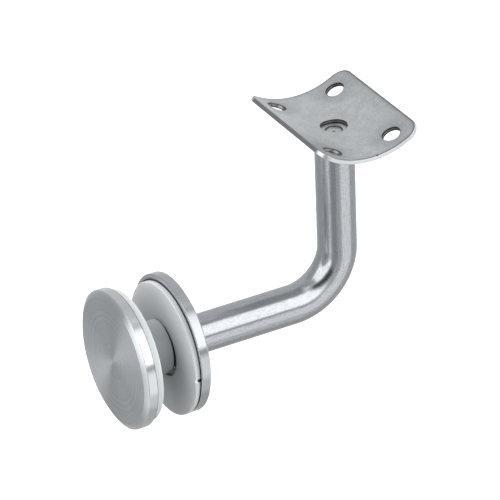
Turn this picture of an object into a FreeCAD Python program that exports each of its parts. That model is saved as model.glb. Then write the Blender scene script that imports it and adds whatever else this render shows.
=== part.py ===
import FreeCAD, Part
import math
import os
import Sketcher

# Handrail bracket for a glass balustrade, in millimetres and degrees.
# A pair of turned discs clamps the pane. An arm leaves the rear disc, turns up through a
# right angle and carries a curved plate, to which the handrail tube is screwed from below.
#
# The origin is on the clamp axis, at the face of the pane on the handrail's side.
# Z is up, X runs along the handrail, and Y is square to the pane, towards the handrail.

SIZES = [
    ("disc_diameter", 50.0, "both clamp discs"),
    ("disc_rim", 3.4, "width of the cylindrical rim of a disc"),
    ("bevel_depth", 1.1, "bevel of a disc, along the clamp axis"),
    ("bevel_width", 2.1, "bevel of a disc, along its radius"),
    ("disc_edge", 0.25, "rounding of the turned edges"),
    ("glass_gap", 12.0, "thickness of the pane"),
    ("gasket_diameter", 48.0, "loose ring behind the pane"),
    ("gasket_thickness", 2.0, "loose ring behind the pane"),
    ("gasket_hole", 11.0, "loose ring behind the pane"),
    ("gasket_edge", 0.3, "rounding of the plastic edges"),
    ("recess_play", 0.6, "added to the tube of the bush in the recess that can take its end"),
    ("ring_recess", 1.1, "depth of that recess, in the front of the ring"),
    ("gate_nick", 1.2, "width of the nick that the moulding gate left in the ring's edge"),
    ("gate_turn", -2.0, "place of that nick, round the axis from X"),
    ("hang_play", 0.1, "left between the ring's hole and the stud that it hangs on"),
    ("flange_diameter", 47.2, "collar of the bush, in front of the pane"),
    ("flange_thickness", 2.8, "collar of the bush, in front of the pane"),
    ("sleeve_diameter", 19.2, "tube of the bush, which lines the hole in the pane"),
    ("sleeve_short", 0.6, "how much shorter that tube is than the pane is thick"),
    ("bush_bore", 8.6, "bore of the bush, for the stud"),
    ("notch_width", 2.4, "notch in the free end of the tube of the bush"),
    ("notch_length", 1.6, "notch in the free end of the tube of the bush"),
    ("notch_turn", -43.0, "place of the notch, round the axis from X"),
    ("stud_diameter", 8.0, "M8 clamp stud"),
    ("stud_bevel", 0.8, "lead of the stud at both ends"),
    ("stud_in_disc", 3.0, "length of the stud screwed into the front disc"),
    ("stud_in_arm", 18.0, "length of the stud screwed into the arm"),
    ("tap_play", 0.1, "added to the stud's diameter in the tapped holes"),
    ("tap_runout", 2.5, "depth of a tapped hole past the end of the stud, in the arm"),
    ("bar_diameter", 14.0, "round bar of the arm"),
    ("spigot_diameter", 12.0, "turned end of the arm, in the rear disc"),
    ("reach", 70.0, "from the pane to the axis of the upright end of the arm"),
    ("rise", 65.4, "from the clamp axis to the lowest line of the tube"),
    ("bend_radius", 19.0, "bend of the arm, on its centre line"),
    ("recess_diameter", 5.8, "shallow recess in the upper end of the arm"),
    ("recess_depth", 0.35, "shallow recess in the upper end of the arm"),
    ("centre_mark", 1.4, "centre drilling in that recess, at its mouth"),
    ("tube_diameter", 60.3, "handrail tube that the plate is curved for"),
    ("plate_length", 53.0, "along the tube"),
    ("plate_width", 41.7, "round the tube, measured on the flat blank"),
    ("plate_thickness", 1.5, "sheet of the curved plate"),
    ("plate_corner", 5.5, "corner radius of the curved plate"),
    ("plate_edge", 0.2, "rounding of the plate's edges"),
    ("centre_hole", 9.3, "hole in the plate over the arm"),
    ("screw_hole", 6.4, "four holes for the handrail screws"),
    ("hole_edge", 0.3, "rounding of the mouths of the holes, on the tube's side"),
    ("screw_pitch", 38.4, "between the screw holes, along the tube"),
    ("screw_turn", 22.5, "from the middle of the plate to a screw hole, round the tube"),
]

doc = FreeCAD.newDocument("HandrailBracket")
sheet = doc.addObject("Spreadsheet::Sheet", "Sizes")
for row, (alias, value, note) in enumerate(SIZES, start=1):
    sheet.set(f"A{row}", alias)
    sheet.set(f"B{row}", str(value))
    sheet.set(f"C{row}", note)
    sheet.setAlias(f"B{row}", alias)
doc.recompute()


def size(alias):
    """The sheet's present value of a size."""
    return float(sheet.get(alias))


def start_body(label):
    """An empty body whose label is the name of the finished piece."""
    body = doc.addObject("PartDesign::Body", label)
    body.Label = label
    return body


def origin_plane(body, role):
    """One of the three base planes of a body."""
    return next(plane for plane in body.Origin.OriginFeatures if plane.Role == role)


def start_sketch(body, name, role):
    """An empty sketch on one of the base planes of a body."""
    sketch = body.newObject("Sketcher::SketchObject", name)
    sketch.AttachmentSupport = [(origin_plane(body, role), "")]
    sketch.MapMode = "FlatFace"
    return sketch


def value_of(sketch, formula):
    """What a formula of the sheet's sizes comes to now."""
    return float(sketch.evalExpression(formula))


def tie(sketch, kind, places, formula):
    """Adds a dimension and binds it to a formula of the sheet's sizes."""
    index = sketch.addConstraint(Sketcher.Constraint(kind, *places, value_of(sketch, formula)))
    sketch.setExpression(f"Constraints[{index}]", formula)


def draw_outline(sketch, corners):
    """Closed outline of straight lines, with both coordinates of each corner bound."""
    points = [
        FreeCAD.Vector(value_of(sketch, across), value_of(sketch, along), 0)
        for across, along in corners
    ]
    count = len(points)
    lines = [
        sketch.addGeometry(Part.LineSegment(points[i], points[(i + 1) % count]))
        for i in range(count)
    ]
    for i, line in enumerate(lines):
        sketch.addConstraint(Sketcher.Constraint("Coincident", line, 2, lines[(i + 1) % count], 1))
    for line, (across, along) in zip(lines, corners):
        tie(sketch, "DistanceX", (-1, 1, line, 1), across)
        tie(sketch, "DistanceY", (-1, 1, line, 1), along)


def turn(body, name, corners, cut=False):
    """Turned form: an outline of radius and place along Y, revolved about the Y axis."""
    sketch = start_sketch(body, f"{name}_outline", "XY_Plane")
    draw_outline(sketch, corners)
    kind = "PartDesign::Groove" if cut else "PartDesign::Revolution"
    turned = body.newObject(kind, name)
    turned.Profile = sketch
    turned.ReferenceAxis = (sketch, ["V_Axis"])
    turned.Angle = 360
    doc.recompute()
    return turned


def round_edges(body, name, edge_names, alias):
    """Rounds the named edges of the body's tip with a radius from the sheet."""
    base = body.Tip
    fillet = body.newObject("PartDesign::Fillet", name)
    fillet.Base = (base, edge_names)
    fillet.setExpression("Radius", f"Sizes.{alias}")
    doc.recompute()
    return fillet


def rings_of_radius(shape, radii):
    """Names of the circular edges whose radius is one of those given."""
    return [
        f"Edge{i}"
        for i, edge in enumerate(shape.Edges, start=1)
        if edge.Curve.TypeId == "Part::GeomCircle"
        and any(abs(edge.Curve.Radius - radius) < 1e-4 for radius in radii)
    ]


DISC = "(Sizes.disc_diameter / 2)"
DISC_FACE = "(Sizes.disc_diameter / 2 - Sizes.bevel_width)"
DISC_TOTAL = "(Sizes.disc_rim + Sizes.bevel_depth)"
TAPPED = "((Sizes.stud_diameter + Sizes.tap_play) / 2)"


def round_disc_edges(body):
    """Breaks the edges of a disc's rim and of its bevel."""
    radii = (size("disc_diameter") / 2, size("disc_diameter") / 2 - size("bevel_width"))
    round_edges(body, f"{body.Label}_edges", rings_of_radius(body.Tip.Shape, radii), "disc_edge")


def make_rear_disc():
    """Disc behind the pane: its plain side faces the pane, and the arm's spigot fills its hole."""
    body = start_body("rear_disc")
    turn(body, "rear_turning", [
        ("Sizes.spigot_diameter / 2", "0"),
        (DISC, "0"),
        (DISC, "Sizes.disc_rim"),
        (DISC_FACE, DISC_TOTAL),
        ("Sizes.spigot_diameter / 2", DISC_TOTAL),
    ])
    round_disc_edges(body)
    body.setExpression("Placement.Base.y", "Sizes.gasket_thickness")
    return body


def make_front_disc():
    """Disc in front of the pane: the same turning, with a blind tapped hole for the stud."""
    body = start_body("front_disc")
    turn(body, "front_turning", [
        (TAPPED, "0"),
        (DISC, "0"),
        (DISC, "Sizes.disc_rim"),
        (DISC_FACE, DISC_TOTAL),
        ("0", DISC_TOTAL),
        ("0", "Sizes.stud_in_disc"),
        (TAPPED, "Sizes.stud_in_disc"),
    ])
    round_disc_edges(body)
    facing_out = FreeCAD.Rotation(FreeCAD.Vector(0, 0, 1), 180)
    body.Placement = FreeCAD.Placement(FreeCAD.Vector(0, 0, 0), facing_out)
    body.setExpression("Placement.Base.y", "-(Sizes.glass_gap + Sizes.flange_thickness)")
    return body


def make_glass_bush():
    """Moulded bush: a collar in front of the pane and a tube through the pane's hole."""
    body = start_body("glass_bush")
    bore = "Sizes.bush_bore / 2"
    flange = "Sizes.flange_diameter / 2"
    sleeve = "Sizes.sleeve_diameter / 2"
    sleeve_end = "(Sizes.glass_gap - Sizes.sleeve_short)"
    turn(body, "bush_turning", [
        (bore, "-Sizes.flange_thickness"),
        (flange, "-Sizes.flange_thickness"),
        (flange, "0"),
        (sleeve, "0"),
        (sleeve, sleeve_end),
        (bore, sleeve_end),
    ])
    radii = (size("flange_diameter") / 2, size("sleeve_diameter") / 2)
    round_edges(body, "bush_edges", rings_of_radius(body.Tip.Shape, radii), "gasket_edge")

    notch = body.newObject("PartDesign::SubtractiveBox", "sleeve_notch")
    notch.setExpression("Length", "Sizes.sleeve_diameter / 2")
    notch.setExpression("Width", "2 * Sizes.notch_length")
    notch.setExpression("Height", "Sizes.notch_width")
    wall_middle = "((Sizes.sleeve_diameter + Sizes.bush_bore) / 4)"
    half_width = "(Sizes.notch_width / 2)"
    angle = "Sizes.notch_turn"
    notch.Placement = FreeCAD.Placement(
        FreeCAD.Vector(0, 0, 0),
        FreeCAD.Rotation(FreeCAD.Vector(0, -1, 0), size("notch_turn")),
    )
    notch.setExpression(
        "Placement.Base.x", f"{wall_middle} * cos({angle}) + {half_width} * sin({angle})"
    )
    notch.setExpression("Placement.Base.y", f"{sleeve_end} - Sizes.notch_length")
    notch.setExpression(
        "Placement.Base.z", f"{wall_middle} * sin({angle}) - {half_width} * cos({angle})"
    )
    doc.recompute()
    body.setExpression("Placement.Base.y", "-Sizes.glass_gap")
    return body


def make_rear_gasket():
    """Loose ring against the rear disc, hanging on the stud by the top of its hole."""
    body = start_body("rear_gasket")
    ring = "Sizes.gasket_diameter / 2"
    hole = "Sizes.gasket_hole / 2"
    recess = "(Sizes.sleeve_diameter + Sizes.recess_play) / 2"
    turn(body, "ring_turning", [
        (hole, "Sizes.ring_recess"),
        (recess, "Sizes.ring_recess"),
        (recess, "0"),
        (ring, "0"),
        (ring, "Sizes.gasket_thickness"),
        (hole, "Sizes.gasket_thickness"),
    ])
    rings = rings_of_radius(body.Tip.Shape, (size("gasket_diameter") / 2,))
    round_edges(body, "ring_edges", rings, "gasket_edge")

    nick = body.newObject("PartDesign::SubtractiveCylinder", "gate_nick")
    nick.setExpression("Radius", "Sizes.gate_nick / 2")
    nick.setExpression("Height", "2 * Sizes.gasket_thickness")
    nick.Placement = FreeCAD.Placement(
        FreeCAD.Vector(0, 0, 0), FreeCAD.Rotation(FreeCAD.Vector(1, 0, 0), -90)
    )
    nick.setExpression("Placement.Base.x", f"{ring} * cos(Sizes.gate_turn)")
    nick.setExpression("Placement.Base.y", "-Sizes.gasket_thickness / 2")
    nick.setExpression("Placement.Base.z", f"{ring} * sin(Sizes.gate_turn)")
    doc.recompute()
    body.setExpression(
        "Placement.Base.z",
        "-((Sizes.gasket_hole - Sizes.stud_diameter) / 2 - Sizes.hang_play)",
    )
    return body


def make_clamp_stud():
    """Threaded stud that draws the front disc towards the arm."""
    body = start_body("clamp_stud")
    start = "(-(Sizes.glass_gap + Sizes.flange_thickness + Sizes.stud_in_disc))"
    end = "(Sizes.gasket_thickness + Sizes.stud_in_arm)"
    radius = "Sizes.stud_diameter / 2"
    tip = "(Sizes.stud_diameter / 2 - Sizes.stud_bevel)"
    turn(body, "stud_turning", [
        ("0", start),
        (tip, start),
        (radius, f"{start} + Sizes.stud_bevel"),
        (radius, f"{end} - Sizes.stud_bevel"),
        (tip, end),
        ("0", end),
    ])
    return body


def draw_arm_path(body, start):
    """Centre line of the bar: straight out from the disc, a quarter bend, straight up."""
    path = start_sketch(body, "arm_path", "YZ_Plane")
    bend_start = "Sizes.reach - Sizes.bend_radius"
    y_start = value_of(path, start)
    y_bend = value_of(path, bend_start)
    reach = size("reach")
    rise = size("rise")
    bend = size("bend_radius")
    out = path.addGeometry(
        Part.LineSegment(FreeCAD.Vector(y_start, 0, 0), FreeCAD.Vector(y_bend, 0, 0))
    )
    quarter = Part.Circle(FreeCAD.Vector(y_bend, bend, 0), FreeCAD.Vector(0, 0, 1), bend)
    curve = path.addGeometry(Part.ArcOfCircle(quarter, -math.pi / 2, 0))
    upright = path.addGeometry(
        Part.LineSegment(FreeCAD.Vector(reach, bend, 0), FreeCAD.Vector(reach, rise, 0))
    )
    path.addConstraint(Sketcher.Constraint("Horizontal", out))
    path.addConstraint(Sketcher.Constraint("Vertical", upright))
    path.addConstraint(Sketcher.Constraint("Tangent", out, 2, curve, 1))
    path.addConstraint(Sketcher.Constraint("Tangent", curve, 2, upright, 1))
    path.addConstraint(Sketcher.Constraint("PointOnObject", out, 1, -1))
    tie(path, "DistanceX", (-1, 1, out, 1), start)
    tie(path, "DistanceX", (-1, 1, upright, 2), "Sizes.reach")
    tie(path, "DistanceY", (-1, 1, upright, 2), "Sizes.rise")
    tie(path, "Radius", (curve,), "Sizes.bend_radius")
    return path


def make_arm():
    """Bent round bar, with a turned and tapped end in the disc and a profiled end at the plate."""
    body = start_body("arm")
    shoulder = "Sizes.gasket_thickness + Sizes.disc_rim + Sizes.bevel_depth"
    path = draw_arm_path(body, shoulder)

    section = start_sketch(body, "bar_section", "XZ_Plane")
    section.setExpression("AttachmentOffset.Base.z", f"-({shoulder})")
    circle = section.addGeometry(
        Part.Circle(FreeCAD.Vector(0, 0, 0), FreeCAD.Vector(0, 0, 1), size("bar_diameter") / 2)
    )
    section.addConstraint(Sketcher.Constraint("Coincident", circle, 3, -1, 1))
    tie(section, "Diameter", (circle,), "Sizes.bar_diameter")
    doc.recompute()

    bar = body.newObject("PartDesign::AdditivePipe", "bent_bar")
    bar.Profile = section
    bar.Spine = (path, ["Edge1", "Edge2", "Edge3"])
    doc.recompute()

    spigot_face = "Sizes.gasket_thickness"
    turn(body, "spigot", [
        ("0", spigot_face),
        ("Sizes.spigot_diameter / 2", spigot_face),
        ("Sizes.spigot_diameter / 2", f"{shoulder} + Sizes.disc_edge"),
        ("0", f"{shoulder} + Sizes.disc_edge"),
    ])
    tap_end = "(Sizes.gasket_thickness + Sizes.stud_in_arm + Sizes.tap_runout)"
    turn(body, "tapped_hole", [
        ("0", spigot_face),
        (TAPPED, spigot_face),
        (TAPPED, tap_end),
        ("0", f"{tap_end} + {TAPPED} * tan(31)"),
    ], cut=True)

    seat = body.newObject("PartDesign::SubtractiveCylinder", "plate_seat")
    seat.setExpression("Radius", "Sizes.tube_diameter / 2 + Sizes.plate_thickness")
    seat.setExpression("Height", "2 * Sizes.bar_diameter")
    along_tube = FreeCAD.Rotation(FreeCAD.Vector(0, 1, 0), 90)
    seat.Placement = FreeCAD.Placement(FreeCAD.Vector(0, 0, 0), along_tube)
    seat.setExpression("Placement.Base.x", "-Sizes.bar_diameter")
    seat.setExpression("Placement.Base.y", "Sizes.reach")
    seat.setExpression("Placement.Base.z", "Sizes.rise + Sizes.tube_diameter / 2")
    doc.recompute()

    recess = body.newObject("PartDesign::SubtractiveCylinder", "end_recess")
    recess.setExpression("Radius", "Sizes.recess_diameter / 2")
    recess.setExpression("Height", "Sizes.recess_depth + Sizes.plate_thickness")
    recess.setExpression("Placement.Base.y", "Sizes.reach")
    recess.setExpression(
        "Placement.Base.z", "Sizes.rise - Sizes.plate_thickness - Sizes.recess_depth"
    )
    doc.recompute()

    mark = body.newObject("PartDesign::SubtractiveCone", "centre_mark")
    mark.Radius1 = 0
    mark.setExpression("Radius2", "Sizes.centre_mark / 2")
    mark.setExpression("Height", "Sizes.centre_mark / 2")
    mark.setExpression("Placement.Base.y", "Sizes.reach")
    mark.setExpression(
        "Placement.Base.z",
        "Sizes.rise - Sizes.plate_thickness - Sizes.recess_depth - Sizes.centre_mark / 2",
    )
    doc.recompute()
    return body


def draw_plate_band(sketch):
    """End view of the curved plate: a band of the sheet's thickness round the tube's axis."""
    inner = size("tube_diameter") / 2
    outer = inner + size("plate_thickness")
    half_turn = size("plate_width") / (inner + outer)
    axis = FreeCAD.Vector(0, inner, 0)
    up = FreeCAD.Vector(0, 0, 1)
    down = -math.pi / 2

    def on_arc(radius, turned):
        return axis + FreeCAD.Vector(radius * math.sin(turned), -radius * math.cos(turned), 0)

    arcs = [
        sketch.addGeometry(
            Part.ArcOfCircle(Part.Circle(axis, up, radius), down - half_turn, down + half_turn)
        )
        for radius in (inner, outer)
    ]
    sides = [
        sketch.addGeometry(Part.LineSegment(on_arc(inner, turned), on_arc(outer, turned)))
        for turned in (-half_turn, half_turn)
    ]
    for end, side in enumerate(sides, start=1):
        sketch.addConstraint(Sketcher.Constraint("Coincident", side, 1, arcs[0], end))
        sketch.addConstraint(Sketcher.Constraint("Coincident", side, 2, arcs[1], end))
        sketch.addConstraint(Sketcher.Constraint("PointOnObject", arcs[0], 3, side))
    sketch.addConstraint(Sketcher.Constraint("Coincident", arcs[0], 3, arcs[1], 3))
    sketch.addConstraint(Sketcher.Constraint("PointOnObject", arcs[0], 3, -2))
    sketch.addConstraint(Sketcher.Constraint("Symmetric", arcs[0], 1, arcs[0], 2, -2))
    tie(sketch, "DistanceY", (-1, 1, arcs[0], 3), "Sizes.tube_diameter / 2")
    tie(sketch, "Radius", (arcs[0],), "Sizes.tube_diameter / 2")
    tie(sketch, "Radius", (arcs[1],), "Sizes.tube_diameter / 2 + Sizes.plate_thickness")
    tie(
        sketch, "DistanceX", (arcs[0], 1, arcs[0], 2),
        "Sizes.tube_diameter * sin(Sizes.plate_width"
        " / (Sizes.tube_diameter + Sizes.plate_thickness) * 180 / pi)",
    )


def corner_edges(shape):
    """Names of the short edges through the sheet at the plate's four corners."""
    half_length = size("plate_length") / 2
    thickness = size("plate_thickness")
    return [
        f"Edge{i}"
        for i, edge in enumerate(shape.Edges, start=1)
        if abs(edge.Length - thickness) < 1e-4
        and abs(abs(edge.CenterOfMass.x) - half_length) < 1e-4
    ]


def rim_edges(shape):
    """Names of the edges all round the plate, on both of its curved faces."""
    radii = (size("tube_diameter") / 2, size("tube_diameter") / 2 + size("plate_thickness"))
    curved = [
        face for face in shape.Faces
        if face.Surface.TypeId == "Part::GeomCylinder"
        and any(abs(face.Surface.Radius - radius) < 1e-4 for radius in radii)
    ]
    return [
        f"Edge{i}"
        for i, edge in enumerate(shape.Edges, start=1)
        if any(edge.isSame(other) for face in curved for other in face.Edges)
    ]


def hole_mouths(shape):
    """Names of the edges where the holes in the plate open on its concave face."""
    tube_radius = size("tube_diameter") / 2
    hole_radii = (size("centre_hole") / 2, size("screw_hole") / 2)
    round_faces = [face for face in shape.Faces if face.Surface.TypeId == "Part::GeomCylinder"]
    concave = [face for face in round_faces if abs(face.Surface.Radius - tube_radius) < 1e-4]
    walls = [
        face for face in round_faces
        if any(abs(face.Surface.Radius - radius) < 1e-4 for radius in hole_radii)
    ]
    return [
        f"Edge{i}"
        for i, edge in enumerate(shape.Edges, start=1)
        if any(edge.isSame(other) for face in concave for other in face.Edges)
        and any(edge.isSame(other) for face in walls for other in face.Edges)
    ]


def make_saddle_plate():
    """Curved plate under the tube: sheet rolled to the tube, with four radial screw holes."""
    body = start_body("saddle_plate")
    band = start_sketch(body, "plate_band", "YZ_Plane")
    draw_plate_band(band)
    plate = body.newObject("PartDesign::Pad", "rolled_sheet")
    plate.Profile = band
    plate.Midplane = True
    plate.setExpression("Length", "Sizes.plate_length")
    doc.recompute()
    round_edges(body, "plate_corners", corner_edges(body.Tip.Shape), "plate_corner")
    round_edges(body, "plate_edges", rim_edges(body.Tip.Shape), "plate_edge")

    middle = body.newObject("PartDesign::SubtractiveCylinder", "middle_hole")
    middle.setExpression("Radius", "Sizes.centre_hole / 2")
    middle.setExpression("Height", "4 * Sizes.plate_thickness")
    middle.setExpression("Placement.Base.z", "-2 * Sizes.plate_thickness")
    doc.recompute()

    screw = body.newObject("PartDesign::SubtractiveCylinder", "screw_hole")
    screw.setExpression("Radius", "Sizes.screw_hole / 2")
    screw.setExpression("Height", "4 * Sizes.plate_thickness")
    start = "(Sizes.tube_diameter / 2 + 2 * Sizes.plate_thickness)"
    screw.Placement = FreeCAD.Placement(
        FreeCAD.Vector(0, 0, 0), FreeCAD.Rotation(FreeCAD.Vector(1, 0, 0), size("screw_turn"))
    )
    screw.setExpression("Placement.Base.x", "Sizes.screw_pitch / 2")
    screw.setExpression("Placement.Base.y", f"{start} * sin(Sizes.screw_turn)")
    screw.setExpression(
        "Placement.Base.z", f"Sizes.tube_diameter / 2 - {start} * cos(Sizes.screw_turn)"
    )
    doc.recompute()

    pattern = body.newObject("PartDesign::MultiTransform", "screw_holes")
    across = body.newObject("PartDesign::Mirrored", "across_tube")
    across.MirrorPlane = (origin_plane(body, "XZ_Plane"), [""])
    along = body.newObject("PartDesign::Mirrored", "along_tube")
    along.MirrorPlane = (origin_plane(body, "YZ_Plane"), [""])
    pattern.Originals = [screw]
    pattern.Transformations = [across, along]
    body.Tip = pattern
    doc.recompute()
    round_edges(body, "hole_edges", hole_mouths(body.Tip.Shape), "hole_edge")

    body.setExpression("Placement.Base.y", "Sizes.reach")
    body.setExpression("Placement.Base.z", "Sizes.rise")
    return body


pieces = [
    make_front_disc(),
    make_glass_bush(),
    make_rear_gasket(),
    make_rear_disc(),
    make_clamp_stud(),
    make_arm(),
    make_saddle_plate(),
]
doc.recompute()

for item in doc.Objects:
    faults = [state for state in item.State if state in ("Invalid", "Error")]
    if faults:
        raise RuntimeError(f"{item.Label} did not build: {faults}")
for piece in pieces:
    if piece.Shape.isNull() or not piece.Shape.isValid() or len(piece.Shape.Solids) != 1:
        raise RuntimeError(f"{piece.Label} is not one valid solid")

os.makedirs("parts", exist_ok=True)
for piece in pieces:
    piece.Shape.exportStep(f"parts/{piece.Label}.step")
    box = piece.Shape.BoundBox
    print(
        f"{piece.Label:13s} volume {piece.Shape.Volume:9.2f}"
        f"  x {box.XMin:7.2f} {box.XMax:7.2f}"
        f"  y {box.YMin:7.2f} {box.YMax:7.2f}"
        f"  z {box.ZMin:7.2f} {box.ZMax:7.2f}"
    )
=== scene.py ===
import math

import bpy
from mathutils import Matrix, Vector


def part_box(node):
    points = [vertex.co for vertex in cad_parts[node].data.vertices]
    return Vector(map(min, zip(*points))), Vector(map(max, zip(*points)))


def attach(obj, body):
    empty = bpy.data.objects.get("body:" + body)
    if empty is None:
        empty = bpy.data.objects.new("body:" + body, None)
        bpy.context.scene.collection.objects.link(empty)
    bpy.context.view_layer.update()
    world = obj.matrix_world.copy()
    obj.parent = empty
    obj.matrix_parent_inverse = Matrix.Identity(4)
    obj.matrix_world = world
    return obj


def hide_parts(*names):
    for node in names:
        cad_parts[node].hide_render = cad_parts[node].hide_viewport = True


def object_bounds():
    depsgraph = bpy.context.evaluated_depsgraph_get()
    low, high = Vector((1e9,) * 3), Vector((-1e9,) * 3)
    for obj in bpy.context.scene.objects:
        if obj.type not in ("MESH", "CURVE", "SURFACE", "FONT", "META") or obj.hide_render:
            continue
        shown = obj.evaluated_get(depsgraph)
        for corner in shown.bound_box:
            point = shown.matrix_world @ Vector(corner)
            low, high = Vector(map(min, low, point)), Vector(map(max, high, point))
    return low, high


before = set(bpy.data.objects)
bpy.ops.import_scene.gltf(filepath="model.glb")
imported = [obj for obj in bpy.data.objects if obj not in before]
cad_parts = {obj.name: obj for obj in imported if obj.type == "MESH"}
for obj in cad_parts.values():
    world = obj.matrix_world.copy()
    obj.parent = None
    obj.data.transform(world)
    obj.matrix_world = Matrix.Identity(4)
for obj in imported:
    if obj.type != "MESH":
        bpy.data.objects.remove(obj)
cad_low, cad_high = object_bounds()

# Bent arm: one length of 14 mm round stainless bar, bent cold through a right angle.
# It was polished along its length with a belt, which leaves fine streaks. Its lower end is
# turned down and tapped, its upper end is profiled to the plate and centre-drilled.
MM = 0.001
arm_low, arm_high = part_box("arm")
disc_low, disc_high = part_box("rear_disc")
plate_low, plate_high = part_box("saddle_plate")
BAR_RADIUS = arm_high.x
REACH = arm_high.y - BAR_RADIUS
BEND_RADIUS = 19 * MM
SPIGOT_RADIUS = 6 * MM
TAPPED_RADIUS = 4.05 * MM
TAPPED_DEPTH = 20.5 * MM
DRILL_SLOPE = math.radians(31)
TUBE_RADIUS = 30.15 * MM
PLATE_THICKNESS = 1.5 * MM
BELOW_SEAT = 2 * MM
RECESS_RADIUS = 2.9 * MM
RECESS_DEPTH = 0.35 * MM
MARK_RADIUS = 0.7 * MM
BAR_SIDES = 128
SHARP_ANGLE = math.radians(30)
tube_axis_z = plate_low.z + PLATE_THICKNESS + TUBE_RADIUS


def skin(name, rows, lengths, ends):
    """A closed skin over rings of points, with a cap at both ends.

    Its UV map holds the share of a turn round the piece and the millimetres along it.
    """
    count = len(rows[0])
    points = [tuple(p) for row in rows for p in row] + [tuple(p) for p in ends]
    faces = []
    for i in range(len(rows) - 1):
        for j in range(count):
            k = (j + 1) % count
            faces.append((i * count + j, i * count + k, (i + 1) * count + k, (i + 1) * count + j))
    last = (len(rows) - 1) * count
    for j in range(count):
        k = (j + 1) % count
        faces.append((len(points) - 2, k, j))
        faces.append((len(points) - 1, last + j, last + k))
    mesh = bpy.data.meshes.new(name)
    mesh.from_pydata(points, [], faces)
    layer = mesh.uv_layers.new(name="surface")
    for face in mesh.polygons:
        columns = [v % count for v in face.vertices if v < len(points) - 2]
        wraps = max(columns) - min(columns) > 1
        for loop in face.loop_indices:
            v = mesh.loops[loop].vertex_index
            if v >= len(points) - 2:
                row, column = 0 if v == len(points) - 2 else len(rows) - 1, columns[0]
            else:
                row, column = divmod(v, count)
            if wraps and column == 0:
                column = count
            layer.data[loop].uv = (column / count, lengths[row] / MM)
        face.use_smooth = True
    mesh.set_sharp_from_angle(angle=SHARP_ANGLE)
    piece = bpy.data.objects.new(name, mesh)
    bpy.context.scene.collection.objects.link(piece)
    return piece


def ring(centre, across, up, radius, count):
    """Points on a circle, anticlockwise from the across direction."""
    turns = (2 * math.pi * j / count for j in range(count))
    return [centre + radius * (math.cos(t) * across + math.sin(t) * up) for t in turns]


def seat_height(y):
    """Height of the plate's underside over a point of the arm."""
    outer = TUBE_RADIUS + PLATE_THICKNESS
    return tube_axis_z - math.sqrt(outer ** 2 - (y - REACH) ** 2)


X, Y, Z = Vector((1, 0, 0)), Vector((0, 1, 0)), Vector((0, 0, 1))
arm_rows = [
    ring(Vector((0, y, 0)), X, Z, radius, BAR_SIDES)
    for y, radius in (
        (arm_low.y + TAPPED_DEPTH, TAPPED_RADIUS),
        (arm_low.y, TAPPED_RADIUS),
        (arm_low.y, SPIGOT_RADIUS),
        (disc_high.y, SPIGOT_RADIUS),
        (disc_high.y, BAR_RADIUS),
    )
]
BEND_STEPS = 48
STRAIGHT_STEPS = 12
bend_start = REACH - BEND_RADIUS
for i in range(1, STRAIGHT_STEPS + 1):
    y = disc_high.y + (bend_start - disc_high.y) * i / STRAIGHT_STEPS
    arm_rows.append(ring(Vector((0, y, 0)), X, Z, BAR_RADIUS, BAR_SIDES))
for i in range(1, BEND_STEPS + 1):
    a = math.pi / 2 * i / BEND_STEPS
    centre = Vector((0, bend_start + BEND_RADIUS * math.sin(a), BEND_RADIUS * (1 - math.cos(a))))
    outward = Vector((0, -math.sin(a), math.cos(a)))
    arm_rows.append(ring(centre, X, outward, BAR_RADIUS, BAR_SIDES))
upright_end = seat_height(REACH) - BELOW_SEAT
for i in range(1, STRAIGHT_STEPS + 1):
    z = BEND_RADIUS + (upright_end - BEND_RADIUS) * i / STRAIGHT_STEPS
    arm_rows.append(ring(Vector((0, REACH, z)), X, -Y, BAR_RADIUS, BAR_SIDES))
END_FACE_RINGS = 6
for i in range(END_FACE_RINGS + 1):
    radius = BAR_RADIUS + (RECESS_RADIUS - BAR_RADIUS) * i / END_FACE_RINGS
    flat = ring(Vector((0, REACH, 0)), X, -Y, radius, BAR_SIDES)
    arm_rows.append([Vector((p.x, p.y, seat_height(p.y))) for p in flat])
recess_floor = seat_height(REACH) - RECESS_DEPTH
for radius in (RECESS_RADIUS, MARK_RADIUS):
    arm_rows.append(ring(Vector((0, REACH, recess_floor)), X, -Y, radius, BAR_SIDES))
arm_lengths = [0.0]
for i in range(1, len(arm_rows)):
    step = (arm_rows[i][0] - arm_rows[i - 1][0]).length
    arm_lengths.append(arm_lengths[-1] + step)
hole_end = Vector((0, arm_low.y + TAPPED_DEPTH + TAPPED_RADIUS * math.tan(DRILL_SLOPE), 0))
mark_end = Vector((0, REACH, recess_floor - MARK_RADIUS))
bent_arm = skin("bent_arm", arm_rows, arm_lengths, (hole_end, mark_end))


def new_material(name):
    """A node material with a Principled shader: the material, its tree and the shader."""
    material = bpy.data.materials.new(name)
    material.use_nodes = True
    return material, material.node_tree, material.node_tree.nodes["Principled BSDF"]


def set_inputs(tree, node, inputs):
    """Sets a node's inputs to values, or links them to sockets."""
    for key, value in inputs.items():
        if isinstance(value, bpy.types.NodeSocket):
            tree.links.new(value, node.inputs[key])
        else:
            node.inputs[key].default_value = value


def add_node(tree, kind, settings, inputs):
    """A new node with its settings and its inputs."""
    made = tree.nodes.new(kind)
    for key, value in settings.items():
        setattr(made, key, value)
    set_inputs(tree, made, inputs)
    return made


def object_place(tree):
    """The shaded place, in the frame of the part."""
    return add_node(tree, "ShaderNodeTexCoord", {}, {}).outputs["Object"]


def noise(tree, place, scale, detail, roughness=0.5):
    """A cloudy pattern in space, about 0.5 in the middle."""
    return add_node(
        tree, "ShaderNodeTexNoise", {},
        {"Vector": place, "Scale": scale, "Detail": detail, "Roughness": roughness},
    ).outputs["Fac"]


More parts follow.
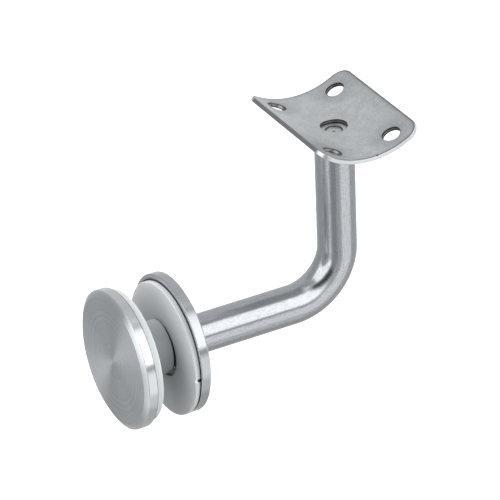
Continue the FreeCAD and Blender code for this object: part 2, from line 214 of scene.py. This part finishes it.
def fade(tree, factor, low, high, out_low, out_high):
    """A value that goes from out_low to out_high as the factor goes from low to high."""
    return add_node(
        tree, "ShaderNodeMapRange", {"clamp": True},
        {"Value": factor, "From Min": low, "From Max": high, "To Min": out_low, "To Max": out_high},
    ).outputs["Result"]


# Sockets of the Mix node that carry colours; its other sockets share their names.
FIRST_COLOUR, SECOND_COLOUR, MIXED_COLOUR = 6, 7, 2


def blend(tree, factor, first, second):
    """A colour from the first to the second; each is a socket, a grey level or a colour."""
    mixed = add_node(tree, "ShaderNodeMix", {"data_type": "RGBA"}, {0: factor})
    for index, value in ((FIRST_COLOUR, first), (SECOND_COLOUR, second)):
        if not isinstance(value, bpy.types.NodeSocket):
            levels = value if isinstance(value, tuple) else (value,) * 3
            value = (*levels, 1)
        set_inputs(tree, mixed, {index: value})
    return mixed.outputs[MIXED_COLOUR]


def calculate(tree, operation, *values):
    """The result of a sum on numbers or sockets."""
    return add_node(
        tree, "ShaderNodeMath", {"operation": operation}, dict(enumerate(values))
    ).outputs["Value"]


def where_both(tree, first, second):
    """A mask that is full only where both masks are."""
    return calculate(tree, "MULTIPLY", first, second)


def combine(tree, operation, *values):
    """The result of a sum on vectors: the node, which gives a vector or a value."""
    return add_node(
        tree, "ShaderNodeVectorMath", {"operation": operation}, dict(enumerate(values))
    )


# Directions that count in a distance from an axis along X, Y or Z.
ABOUT_X, ABOUT_Y, ABOUT_Z = (0, 1, 1), (1, 0, 1), (1, 1, 0)


def distance(tree, place, centre, kept=(1, 1, 1)):
    """How far a place lies from a centre, in the kept directions."""
    way = combine(tree, "SUBTRACT", place, tuple(centre))
    flat = combine(tree, "MULTIPLY", way.outputs["Vector"], kept)
    return combine(tree, "LENGTH", flat.outputs["Vector"]).outputs["Value"]


def along(tree, place, way):
    """How far a place lies along a direction."""
    return combine(tree, "DOT_PRODUCT", place, tuple(way)).outputs["Value"]


def relief(tree, height, strength, depth, under=None):
    """The normals of a fine relief over a pattern, on top of another relief if one is given."""
    inputs = {"Height": height, "Strength": strength, "Distance": depth}
    if under:
        inputs["Normal"] = under
    return add_node(tree, "ShaderNodeBump", {}, inputs).outputs["Normal"]


END_FACE_RADIUS = 4.65 * MM
END_FACE_EDGE = 0.05 * MM
# Painted shade and highlight rings on the centre-drilled end face: share of its radius from the
# middle, and grey level.
END_SHADE_BANDS = ((0.09, 0.12), (0.14, 0.85), (0.56, 0.75), (0.61, 0.22), (0.66, 0.22), (0.71, 0.90))
# Belt marks over the UV map: 130 in a turn of the bar, each some 5 mm long.
STREAK_SCALE = (130, 0.22, 1)
BAR_GREY = (0.455, 0.47, 0.485)
BAR_BRIGHT = (0.665, 0.685, 0.705)
STREAK_DEPTH = 0.02 * MM
GRAIN_DEPTH = 0.01 * MM
bar_steel, tree, shader = new_material("belt_polished_bar")
place = object_place(tree)
surface = add_node(tree, "ShaderNodeUVMap", {"uv_map": "surface"}, {})
streak_space = add_node(
    tree, "ShaderNodeMapping", {}, {"Vector": surface.outputs["UV"], "Scale": STREAK_SCALE}
)
streak = noise(tree, streak_space.outputs["Vector"], scale=1.0, detail=5.0, roughness=0.65)
grain = noise(tree, place, scale=3000.0, detail=2.0)
satin = fade(tree, calculate(tree, "ADD", grain, streak), 0.75, 1.25, 0, 1)
polished = blend(tree, satin, BAR_GREY, BAR_BRIGHT)
from_upright = distance(tree, place, (0, REACH, 0), ABOUT_Z)
painted_end_rings = add_node(
    tree, "ShaderNodeValToRGB", {}, {"Fac": fade(tree, from_upright, 0, END_FACE_RADIUS, 0, 1)}
)
bands = painted_end_rings.color_ramp.elements
for share, level in END_SHADE_BANDS:
    bands.new(share).color = (level, level, level, 1)
bands[0].color = bands[1].color
bands[-1].color = bands[-2].color
# Under the plate's middle hole the end face takes the painted shade and highlight rings in place of
# the polished steel.
in_hole = where_both(
    tree, fade(tree, from_upright, END_FACE_RADIUS - END_FACE_EDGE, END_FACE_RADIUS, 1, 0),
    fade(tree, along(tree, place, Z), upright_end - MM, upright_end, 0, 1),
)
belt_marks = relief(tree, streak, 0.22, STREAK_DEPTH)
set_inputs(tree, shader, {
    "Base Color": blend(tree, in_hole, polished, painted_end_rings.outputs["Color"]),
    "Roughness": blend(tree, in_hole, fade(tree, satin, 0, 1, 0.24, 0.15), 0.55),
    "Metallic": 1.0,
    "Anisotropic": 0.2,
    "Tangent": add_node(
        tree, "ShaderNodeTangent", {"direction_type": "UV_MAP", "uv_map": "surface"}, {}
    ).outputs["Tangent"],
    "Normal": relief(tree, grain, 0.22, GRAIN_DEPTH, belt_marks),
})
bent_arm.data.materials.append(bar_steel)
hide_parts("arm")
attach(bent_arm, "root")

# Clamp discs: two slices of 50 mm stainless bar, faced and bevelled on a lathe, so the
# marks of the tool run in rings. The rear one is welded on the arm's turned end, the front
# one has a blind tapped hole and is screwed on the stud. Painted shade darkens the seams.
FACE_RADIUS = 22.9 * MM
FACE_BLEND = 0.2 * MM
BEVEL_BLEND = 0.6 * MM
SEAM_WIDTH = 0.3 * MM
SEAM_EDGE = 0.1 * MM
SEAM_BACK = 0.06 * MM
SEAM_END = 0.02 * MM
SHADE_LINE_RADIUS = 24.4 * MM
SHADE_LINE_END_MIDDLE, SHADE_LINE_END_TOP = 24.5 * MM, 25.1 * MM
SHADE_LINE_TOP = 20 * MM
DISC_GREY = (0.55, 0.57, 0.59)
DISC_BRIGHT = (0.70, 0.72, 0.74)
RIM_BRIGHT = (0.84, 0.86, 0.88)
BACK_PAINTED_LIGHT = (0.94, 0.95, 0.96)
SEAM_SHADE_GREY = 0.06
FACE_ROUGHNESS, RIM_ROUGHNESS, BACK_ROUGHNESS = 0.39, 0.24, 0.6
collar_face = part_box("front_disc")[1].y
ring_low, ring_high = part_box("rear_gasket")
ring_centre = (ring_low + ring_high) / 2


def ring_noise(tree, radius, scale, detail, roughness=0.5):
    """A pattern of fine rings about an axis, about 0.5 in the middle."""
    return add_node(
        tree, "ShaderNodeTexNoise", {"noise_dimensions": "1D"},
        {"W": radius, "Scale": scale, "Detail": detail, "Roughness": roughness},
    ).outputs["Fac"]


disc_steel, tree, shader = new_material("lathe_turned_disc")
place = object_place(tree)
radius = distance(tree, place, (0, 0, 0), ABOUT_Y)
length = along(tree, place, Y)
feed = ring_noise(tree, radius, scale=5200.0, detail=4.0, roughness=0.7)
broad = ring_noise(tree, radius, scale=900.0, detail=2.0)
grain = noise(tree, place, scale=1700.0, detail=2.0)
marks = calculate(
    tree, "MULTIPLY_ADD", grain, 0.5, calculate(tree, "MULTIPLY_ADD", broad, 0.5, feed)
)
turned = blend(tree, fade(tree, marks, 0.75, 1.25, 0, 1), DISC_GREY, DISC_BRIGHT)
# The rim and bevel are brighter: partly a finer polish, partly a painted highlight that is strong
# on the front disc and faint on the rear one.
rim = fade(tree, radius, FACE_RADIUS + BEVEL_BLEND, disc_high.x, 0, 1)
bright = calculate(tree, "MULTIPLY", rim, fade(tree, length, collar_face, 0, 0.85, 0.12))
turned = blend(tree, bright, turned, RIM_BRIGHT)
seam_start = collar_face - SEAM_WIDTH
# Painted shade: a thin dark line on the front disc's back edge, where it meets the collar.
back_edge = where_both(
    tree, fade(tree, length, seam_start, seam_start + SEAM_EDGE, 0, 1),
    fade(tree, length, collar_face - SEAM_BACK, collar_face - SEAM_END, 1, 0),
)
# Painted shade: a dark line on the rear disc's face just round the loose ring, wider towards the
# top.
shade_line_end = fade(
    tree, along(tree, place, Z), 0, SHADE_LINE_TOP, SHADE_LINE_END_MIDDLE, SHADE_LINE_END_TOP
)
from_face = calculate(tree, "ABSOLUTE", calculate(tree, "SUBTRACT", length, disc_low.y))
round_ring = where_both(
    tree,
    fade(tree, distance(tree, place, ring_centre, ABOUT_Y), SHADE_LINE_RADIUS, shade_line_end, 1, 0),
    fade(tree, from_face, SEAM_END, SEAM_EDGE, 1, 0),
)
# Painted light: the rear disc's back face is made near white, lighter than its steel, so that it
# shows light in the arm's reflection.
on_back = fade(tree, length, disc_high.y - SEAM_EDGE, disc_high.y - SEAM_EDGE / 2, 0, 1)
turned = blend(tree, on_back, turned, BACK_PAINTED_LIGHT)
seam_shade_mask = calculate(tree, "MAXIMUM", back_edge, round_ring)
front_roughness = fade(
    tree, radius, FACE_RADIUS - FACE_BLEND, FACE_RADIUS + FACE_BLEND,
    FACE_ROUGHNESS, RIM_ROUGHNESS,
)
set_inputs(tree, shader, {
    "Base Color": blend(tree, seam_shade_mask, turned, SEAM_SHADE_GREY),
    "Roughness": blend(tree, on_back, front_roughness, BACK_ROUGHNESS),
    "Metallic": 1.0,
    "Anisotropic": 0.88,
    "Anisotropic Rotation": 0.25,
    "Tangent": add_node(
        tree, "ShaderNodeTangent", {"direction_type": "RADIAL", "axis": "Y"}, {}
    ).outputs["Tangent"],
    "Normal": relief(tree, feed, 0.2, GRAIN_DEPTH),
})
for node in ("rear_disc", "front_disc"):
    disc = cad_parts[node]
    disc.data.materials[0] = disc_steel

# Clamp stud: a piece of M8 threaded rod, rolled, bright. It is screwed into the arm, and the
# front disc turns on its free end, which draws both discs against the pane.
stud_low, stud_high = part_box("clamp_stud")
STUD_RADIUS = stud_high.x
THREAD_PITCH = 1.25 * MM
THREAD_DEPTH = 0.7 * MM
CREST_SHARE = 0.25
ROOT_SHARE = 0.125
STUD_BEVEL = 0.8 * MM
STUD_SIDES = 32
ROWS_A_TURN = 8


def thread_radius(y, turn):
    """Radius of the rolled thread at a place along the stud and round it."""
    from_crest = abs((y / THREAD_PITCH - turn) % 1.0 - 0.5)
    root_edge = (1 - ROOT_SHARE) / 2
    height = (root_edge - from_crest) / (root_edge - CREST_SHARE / 2)
    from_end = min(y - stud_low.y, stud_high.y - y)
    lead = STUD_RADIUS - STUD_BEVEL + min(from_end, STUD_BEVEL)
    return min(lead, STUD_RADIUS - THREAD_DEPTH * (1 - min(1.0, max(0.0, height))))


stud_rows = []
stud_length = stud_high.y - stud_low.y
stud_count = int(stud_length / THREAD_PITCH * ROWS_A_TURN)
for i in range(stud_count + 1):
    y = stud_low.y + stud_length * i / stud_count
    row = []
    for j in range(STUD_SIDES):
        radius = thread_radius(y, j / STUD_SIDES)
        angle = 2 * math.pi * j / STUD_SIDES
        row.append(Vector((radius * math.cos(angle), y, radius * math.sin(angle))))
    stud_rows.append(row)
stud_lengths = [row[0].y - stud_low.y for row in stud_rows]
stud_ends = (Vector((0, stud_low.y, 0)), Vector((0, stud_high.y, 0)))
threaded_stud = skin("threaded_stud", stud_rows, stud_lengths, stud_ends)
STUD_GREY = (0.43, 0.45, 0.47)
STUD_BRIGHT = (0.58, 0.60, 0.62)
stud_steel, tree, shader = new_material("rolled_thread")
wear = noise(tree, object_place(tree), scale=900.0, detail=4.0)
set_inputs(tree, shader, {
    "Base Color": blend(tree, wear, STUD_GREY, STUD_BRIGHT),
    "Roughness": fade(tree, wear, 0.3, 0.7, 0.35, 0.22),
    "Metallic": 1.0,
})
threaded_stud.data.materials.append(stud_steel)
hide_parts("clamp_stud")
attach(threaded_stud, "root")

# Glass bush and loose ring: both moulded in milky white plastic, so that no steel touches the
# pane. The bush is a collar and a tube in one, pushed on the stud in front of the pane. The
# ring hangs on the stud behind it, until a pane is clamped.
RING_RADIUS = 24 * MM
NICK_TURN = math.radians(-2)
NICK_RADIUS = 0.6 * MM
RECESS_FLOOR = 1.1 * MM
RECESS_WALL = 10.3 * MM
SLEEVE_RADIUS = 9.7 * MM
GLINT_PLACE = (6.1 * MM, RECESS_FLOOR, -6.2 * MM)
EDGE = 0.1 * MM
# Plane between the tube's free end and the ring.
BUSH_END = -0.3 * MM
# Painted shade: the ring is darker round its hole, and its recess is painted black but for the
# lower part.
SHADE_START, SHADE_END = 10 * MM, 23 * MM
LIT_BELOW, DARK_ABOVE = -9 * MM, -5 * MM
PLASTIC_GREY = (0.62, 0.64, 0.65)
PLASTIC_WHITE = (0.68, 0.70, 0.71)
TUBE_PAINTED_SHADE = (0.40, 0.415, 0.425)
SHADE_GREY = (0.38, 0.39, 0.40)
GLINT_WHITE, NICK_GLINT_WHITE, GAP_SHADE_BLACK = 0.90, 0.95, 0.02
MOULD_DEPTH = 0.02 * MM
nick = (
    RING_RADIUS * math.cos(NICK_TURN), 0, ring_centre.z + RING_RADIUS * math.sin(NICK_TURN)
)
milky_plastic, tree, shader = new_material("milky_plastic")
place = object_place(tree)
length = along(tree, place, Y)
cloud = noise(tree, place, scale=90.0, detail=3.0)
grain = noise(tree, place, scale=3000.0, detail=2.0)
plastic = blend(tree, cloud, PLASTIC_GREY, PLASTIC_WHITE)
from_axis = distance(tree, place, (0, 0, 0), ABOUT_Y)
# Painted shade: the bush's tube, deep between the discs, is a darker grey than its collar, though
# both are one moulding.
on_tube = where_both(
    tree, fade(tree, from_axis, SLEEVE_RADIUS, SLEEVE_RADIUS + MM, 1, 0),
    calculate(tree, "LESS_THAN", length, BUSH_END),
)
plastic = blend(tree, on_tube, plastic, TUBE_PAINTED_SHADE)
from_ring = distance(tree, place, ring_centre, ABOUT_Y)
from_nick = distance(tree, place, nick, ABOUT_Y)
on_ring = calculate(tree, "GREATER_THAN", length, BUSH_END)
near_tube = where_both(tree, fade(tree, from_ring, SHADE_START, SHADE_END, 0.8, 0), on_ring)
plastic = blend(tree, near_tube, plastic, SHADE_GREY)
# Painted shade: the recess, the ring's back edge against the rear disc and the inside of the nick
# are made nearly black.
below_face = where_both(
    tree, fade(tree, length, 0.4 * EDGE, EDGE, 0, 1),
    fade(tree, length, RECESS_FLOOR + EDGE, RECESS_FLOOR + 2 * EDGE, 1, 0),
)
unlit = where_both(
    tree, fade(tree, from_ring, RECESS_WALL, RECESS_WALL + EDGE, 1, 0),
    fade(tree, along(tree, place, Z), LIT_BELOW, DARK_ABOVE, 0.3, 1),
)
in_recess = where_both(tree, below_face, unlit)
at_disc = where_both(
    tree, fade(tree, length, ring_high.y - 2 * EDGE, ring_high.y - EDGE / 2, 0, 1),
    fade(tree, from_ring, RING_RADIUS - 10 * EDGE, RING_RADIUS - 6 * EDGE, 0, 1),
)
in_nick = where_both(
    tree, fade(tree, from_nick, NICK_RADIUS + EDGE / 5, NICK_RADIUS + EDGE, 1, 0),
    fade(tree, length, 10 * EDGE, 12 * EDGE, 0, 1),
)
# Painted highlight: a white edge round the front of the nick.
nick_front = where_both(tree, on_ring, fade(tree, length, 5 * EDGE, 9 * EDGE, 1, 0))
burr_speck_and_glint = where_both(
    tree, nick_front, fade(tree, from_nick, NICK_RADIUS, NICK_RADIUS + 3.5 * EDGE, 1, 0)
)
dark = calculate(tree, "MAXIMUM", in_recess, calculate(tree, "MAXIMUM", at_disc, in_nick))
# Painted highlight: a small white glint on the recess floor.
painted_glint = fade(tree, distance(tree, place, GLINT_PLACE), 3 * EDGE, 5 * EDGE, 1, 0)
plastic = blend(tree, dark, blend(tree, burr_speck_and_glint, plastic, NICK_GLINT_WHITE), GAP_SHADE_BLACK)
set_inputs(tree, shader, {
    "Base Color": blend(tree, painted_glint, plastic, GLINT_WHITE),
    "Roughness": fade(tree, grain, 0.3, 0.7, 0.42, 0.52),
    "Subsurface Weight": 0.7,
    "Subsurface Radius": (1.0, 1.0, 1.0),
    "Subsurface Scale": 1.3 * MM,
    "Normal": relief(tree, grain, 0.2, MOULD_DEPTH),
})
for node in ("glass_bush", "rear_gasket"):
    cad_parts[node].data.materials[0] = milky_plastic

# Curved plate under the handrail: 1.5 mm stainless sheet, blanked and punched flat, rolled to
# the tube and tumbled, which leaves a grey, slightly mottled satin; its bright end edges are a
# painted highlight. The arm is welded under its middle hole, and four screws go up through the
# others.
HOLE_PITCH = 38.4 * MM
HOLE_TURN = math.radians(22.5)
HOLE_RADIUS = 3.2 * MM
CENTRE_HOLE_RADIUS = 4.65 * MM
PLATE_WIDTH = 41.7 * MM
CORNER_RADIUS = 5.5 * MM
INNER_ROW = REACH - 7 * MM
BURR_PLACE = (26.1 * MM, 72 * MM, 65.5 * MM)
SHEET_GREY = (0.66, 0.68, 0.695)
SHEET_BRIGHT = (0.87, 0.895, 0.91)
# Grey levels of a darker band along the outline and its darker line, and of the cut edge.
OUTLINE_BAND_GREY, LINE = 0.18, 0.12
SIDE_EDGE, END_EDGE = 0.36, (0.82, 0.84, 0.85)
# Greys of the hole walls, in the two holes nearest the clamp and in the others: painted shade,
# lighter in the inner two.
INNER_WALL_SHADE, OUTER_WALL_SHADE, INNER_BRIGHT, OUTER_BRIGHT = 0.15, 0.03, 0.42, 0.18
HOLE_SURROUND_GREY, PLATE_BURR = 0.20, 0.03
TUMBLED_DEPTH = 0.03 * MM
half_length = plate_high.x
edge_turn = PLATE_WIDTH / 2 / (TUBE_RADIUS + PLATE_THICKNESS / 2)


def beside_tube(tree, place, turn):
    """How far a place lies from a plane through the tube's axis, turned from the upright one."""
    way = (0, math.cos(turn), math.sin(turn))
    return calculate(tree, "SUBTRACT", along(tree, place, way), tube_axis_z * math.sin(turn))


def slant(tree, across, up):
    """The length of a line that goes so far across and so far up."""
    square = calculate(tree, "MULTIPLY", up, up)
    return calculate(tree, "SQRT", calculate(tree, "MULTIPLY_ADD", across, across, square))


sheet_steel, tree, shader = new_material("tumbled_sheet")
place = object_place(tree)
patches = noise(tree, place, scale=300.0, detail=5.0, roughness=0.75)
speck = noise(tree, place, scale=2000.0, detail=2.0)
mottle = calculate(tree, "MULTIPLY_ADD", speck, 0.8, patches)
satin = blend(tree, fade(tree, mottle, 0.66, 1.14, 0, 1), SHEET_GREY, SHEET_BRIGHT)

# The plate's four quarters are alike, so its places are folded into one of them.
centred = combine(tree, "SUBTRACT", place, (0, REACH, 0))
folded = combine(tree, "ABSOLUTE", centred.outputs["Vector"]).outputs["Vector"]
folded_x = along(tree, folded, X)
from_hole = slant(
    tree, calculate(tree, "SUBTRACT", folded_x, HOLE_PITCH / 2),
    beside_tube(tree, folded, HOLE_TURN),
)
from_centre = distance(tree, place, (0, REACH, 0), ABOUT_Z)
punched = calculate(
    tree, "MAXIMUM",
    fade(tree, from_hole, HOLE_RADIUS + EDGE, HOLE_RADIUS + 4 * EDGE, 1, 0),
    fade(tree, from_centre, CENTRE_HOLE_RADIUS + EDGE / 2, CENTRE_HOLE_RADIUS + 3 * EDGE, 1, 0),
)
past_end = calculate(
    tree, "MAXIMUM", 0, calculate(tree, "SUBTRACT", folded_x, half_length - CORNER_RADIUS)
)
past_side = calculate(
    tree, "MAXIMUM", 0,
    calculate(tree, "ADD", beside_tube(tree, folded, edge_turn), CORNER_RADIUS),
)
from_outline = calculate(tree, "SUBTRACT", CORNER_RADIUS, slant(tree, past_end, past_side))
outline_band = fade(tree, from_outline, 0.3 * MM, 1.9 * MM, 0.26, 0)
lined = fade(tree, from_outline, 0.4 * MM, 0.75 * MM, 0.6, 0)
# Painted light on the cut edge: shade along the sides and a highlight at the ends.
sheared = fade(tree, from_outline, 0.03 * MM, 0.12 * MM, 1, 0)
at_end = fade(tree, past_end, 0.5 * MM, 2 * MM, 0, 1)
border = blend(tree, lined, blend(tree, outline_band, satin, OUTLINE_BAND_GREY), LINE)
edged = blend(tree, sheared, border, blend(tree, at_end, SIDE_EDGE, END_EDGE))
# Darker round the holes.
darker_round_holes = fade(tree, from_hole, HOLE_RADIUS, HOLE_RADIUS + 6 * MM, 0.30, 0)
edged = blend(tree, darker_round_holes, edged, HOLE_SURROUND_GREY)
burr_speck_and_glint = fade(tree, distance(tree, place, BURR_PLACE), 3 * EDGE, 5 * EDGE, 1, 0)
edged = blend(tree, burr_speck_and_glint, edged, PLATE_BURR)

# Painted shade in the hole walls: a burnished band between darker ones, lighter in the two holes
# nearest the clamp, where light falls.
depth = calculate(
    tree, "SUBTRACT", distance(tree, place, (0, REACH, tube_axis_z), ABOUT_X), TUBE_RADIUS
)
burnished = where_both(
    tree, fade(tree, depth, 0.3 * MM, 0.5 * MM, 0, 1), fade(tree, depth, 0.9 * MM, 1.1 * MM, 1, 0)
)
inner = fade(tree, along(tree, place, Y), INNER_ROW - MM, INNER_ROW + MM, 1, 0)
wall = blend(
    tree, burnished, blend(tree, inner, OUTER_WALL_SHADE, INNER_WALL_SHADE),
    blend(tree, inner, OUTER_BRIGHT, INNER_BRIGHT),
)
set_inputs(tree, shader, {
    "Base Color": blend(tree, punched, edged, wall),
    "Roughness": fade(tree, patches, 0.3, 0.7, 0.40, 0.30),
    "Metallic": 1.0,
    "Normal": relief(tree, speck, 0.5, TUMBLED_DEPTH),
})
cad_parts["saddle_plate"].data.materials[0] = sheet_steel

# Studio: a white table well below the bracket, with white walls and a dark room round the
# camera. What the metal mirrors is in the world alone: a large bright light at the right, one
# at the left and one on the ceiling. The lamps are weak and never show in the metal.
FLOOR_DROP = 0.16
FLOOR_HALF = 4.0
# Greys of the table: for the light that it gives back, for the camera, and its glow there.
FLOOR_LEVEL, FLOOR_SEEN, FLOOR_GLOW = 0.26, 0.82, 0.35
floor_z = cad_low.z - FLOOR_DROP
floor_mesh = bpy.data.meshes.new("floor")
corners = [
    (x * FLOOR_HALF, y * FLOOR_HALF, floor_z) for x, y in ((-1, -1), (1, -1), (1, 1), (-1, 1))
]
floor_mesh.from_pydata(corners, [], [(0, 1, 2, 3)])
floor = bpy.data.objects.new("floor", floor_mesh)
bpy.context.scene.collection.objects.link(floor)
table_white, tree, shader = new_material("table_white")
seen_directly = add_node(tree, "ShaderNodeLightPath", {}, {}).outputs["Is Camera Ray"]
set_inputs(tree, shader, {
    "Base Color": blend(tree, seen_directly, FLOOR_LEVEL, FLOOR_SEEN),
    "Roughness": 0.9,
    "Specular IOR Level": 0.0,
    "Emission Color": (FLOOR_GLOW, FLOOR_GLOW, FLOOR_GLOW, 1),
    "Emission Strength": seen_directly,
})
floor.data.materials.append(table_white)
floor.visible_glossy = False

world = bpy.data.worlds.new("studio")
world.use_nodes = True
bpy.context.scene.world = world
tree = world.node_tree
tree.nodes.clear()
direction = add_node(tree, "ShaderNodeTexCoord", {}, {}).outputs["Generated"]
height = add_node(tree, "ShaderNodeSeparateXYZ", {}, {"Vector": direction}).outputs["Z"]
rise = calculate(tree, "ARCSINE", height)


def fade_out(angle, half_width, soft):
    """1 within a half width, going to 0 over a soft edge, both in degrees."""
    start, end = math.radians(half_width - soft / 2), math.radians(half_width + soft / 2)
    faded = fade(tree, angle, start, end, 1, 0)
    faded.node.interpolation_type = "SMOOTHSTEP"
    return faded


def away_from(angle, middle):
    """How far an angle lies from the middle of a panel."""
    return calculate(tree, "ABSOLUTE", calculate(tree, "SUBTRACT", angle, middle))


def add_panel(behind, compass, elevation, half_width, half_height, soft, level):
    """A soft-edged panel before what is behind it; the compass runs from +X towards +Y."""
    turned = add_node(
        tree, "ShaderNodeVectorRotate", {"rotation_type": "Z_AXIS"},
        {"Vector": direction, "Angle": -math.radians(compass)},
    )
    parts = add_node(tree, "ShaderNodeSeparateXYZ", {}, {"Vector": turned.outputs["Vector"]})
    bearing = calculate(tree, "ARCTAN2", parts.outputs["Y"], parts.outputs["X"])
    wide = fade_out(away_from(bearing, 0.0), half_width, soft)
    high = fade_out(away_from(rise, math.radians(elevation)), half_height, soft)
    return blend(tree, where_both(tree, wide, high), behind, level)


ROOM, TABLE = 0.60, 0.52
HORIZON_LOW, HORIZON_HIGH = math.radians(-2), math.radians(1)
COOL = (0.984, 1.0, 1.012)
seen = blend(tree, fade(tree, rise, HORIZON_LOW, HORIZON_HIGH, 0, 1), TABLE, ROOM)
for panel in (
    # compass, elevation, half width, half height, soft edge, level: degrees, then brightness
    (0, -75, 180, 22, 16, 0.45),      # table under the bracket
    (-34, -50, 86, 12, 8, 0.68),      # near part of the table
    (29, -20, 30, 18, 10, 0.99),      # table before the right light
    (-88, -26, 23, 22, 10, 0.96),     # table before the left light
    (-138, 5, 22, 50, 12, 0.44),      # gap left of the left light
    (-42, -10, 15, 30, 8, 0.34),      # camera side of the table
    (150, -14, 18, 16, 8, 0.70),      # far end of the table
    (160, 34, 38, 24, 14, 0.59),      # white wall at the far left
    (92, 3, 36, 24, 14, 0.86),        # wall behind the bracket
    (70, 64, 22, 9, 6, 0.36),         # gap above the right light
    (-150, 74, 76, 16, 8, 0.48),      # dim ceiling behind the left light
    (10, 79, 70, 7, 5, 1.40),         # ceiling light
    (-37, 28, 13, 30, 5, 0.04),       # dark room round the camera
    (18, 37, 33, 28, 6, 1.62),        # right light
    (-83, 19, 30, 31, 7, 1.52),       # left light
    (28, 4.8, 18, 4.0, 3, 0.28),      # dark edge of the table
):
    seen = add_panel(seen, *panel)
seen_directly = add_node(tree, "ShaderNodeLightPath", {}, {}).outputs["Is Camera Ray"]
cool = combine(tree, "MULTIPLY", seen, COOL).outputs["Vector"]
shown = blend(tree, seen_directly, cool, 1.0)
background = add_node(tree, "ShaderNodeBackground", {}, {"Color": shown, "Strength": 1.0})
add_node(tree, "ShaderNodeOutputWorld", {}, {"Surface": background.outputs["Background"]})

AIM = (cad_low + cad_high) / 2
for name, place, width, watts in (
    ("right_softbox", (0.60, 0.70, 0.30), 0.6, 2.4),
    ("low_softbox", (0.60, 0.65, -0.10), 0.4, 5.2),
    ("left_softbox", (-0.75, -0.35, 0.60), 0.5, 6.5),
    ("front_softbox", (0.35, -0.85, 0.45), 0.5, 1.0),
):
    lamp = bpy.data.lights.new(name, "AREA")
    lamp.shape = "SQUARE"
    lamp.size = width
    lamp.energy = watts
    box = bpy.data.objects.new(name, lamp)
    box.location = AIM + Vector(place)
    box.rotation_mode = "QUATERNION"
    box.rotation_quaternion = (-Vector(place)).to_track_quat("-Z", "Y")
    box.visible_glossy = False
    bpy.context.scene.collection.objects.link(box)

# Camera: a long lens from the photograph's side, above and to the right of the front disc.
CAMERA_AZIMUTH = math.radians(62.18)
CAMERA_ELEVATION = math.radians(30.05)
CAMERA_ROLL = math.radians(-2.32)
CAMERA_PLACE = Vector((1.0708, -0.5295, 0.7273))
LENS = 291.97
SENSOR_WIDTH = 36.0
right = Vector((math.cos(CAMERA_AZIMUTH), math.sin(CAMERA_AZIMUTH), 0))
back = Vector((
    math.sin(CAMERA_AZIMUTH) * math.cos(CAMERA_ELEVATION),
    -math.cos(CAMERA_AZIMUTH) * math.cos(CAMERA_ELEVATION),
    math.sin(CAMERA_ELEVATION),
))
up = back.cross(right)
rolled_right = right * math.cos(CAMERA_ROLL) + up * math.sin(CAMERA_ROLL)
rolled_up = up * math.cos(CAMERA_ROLL) - right * math.sin(CAMERA_ROLL)
camera = bpy.data.objects.new("camera", bpy.data.cameras.new("camera"))
camera.data.lens = LENS
camera.data.sensor_width = SENSOR_WIDTH
camera.matrix_world = Matrix.Translation(CAMERA_PLACE) @ Matrix(
    (rolled_right, rolled_up, back)
).transposed().to_4x4()
bpy.context.scene.collection.objects.link(camera)
bpy.context.scene.camera = camera
bpy.context.scene.view_settings.view_transform = "Standard"
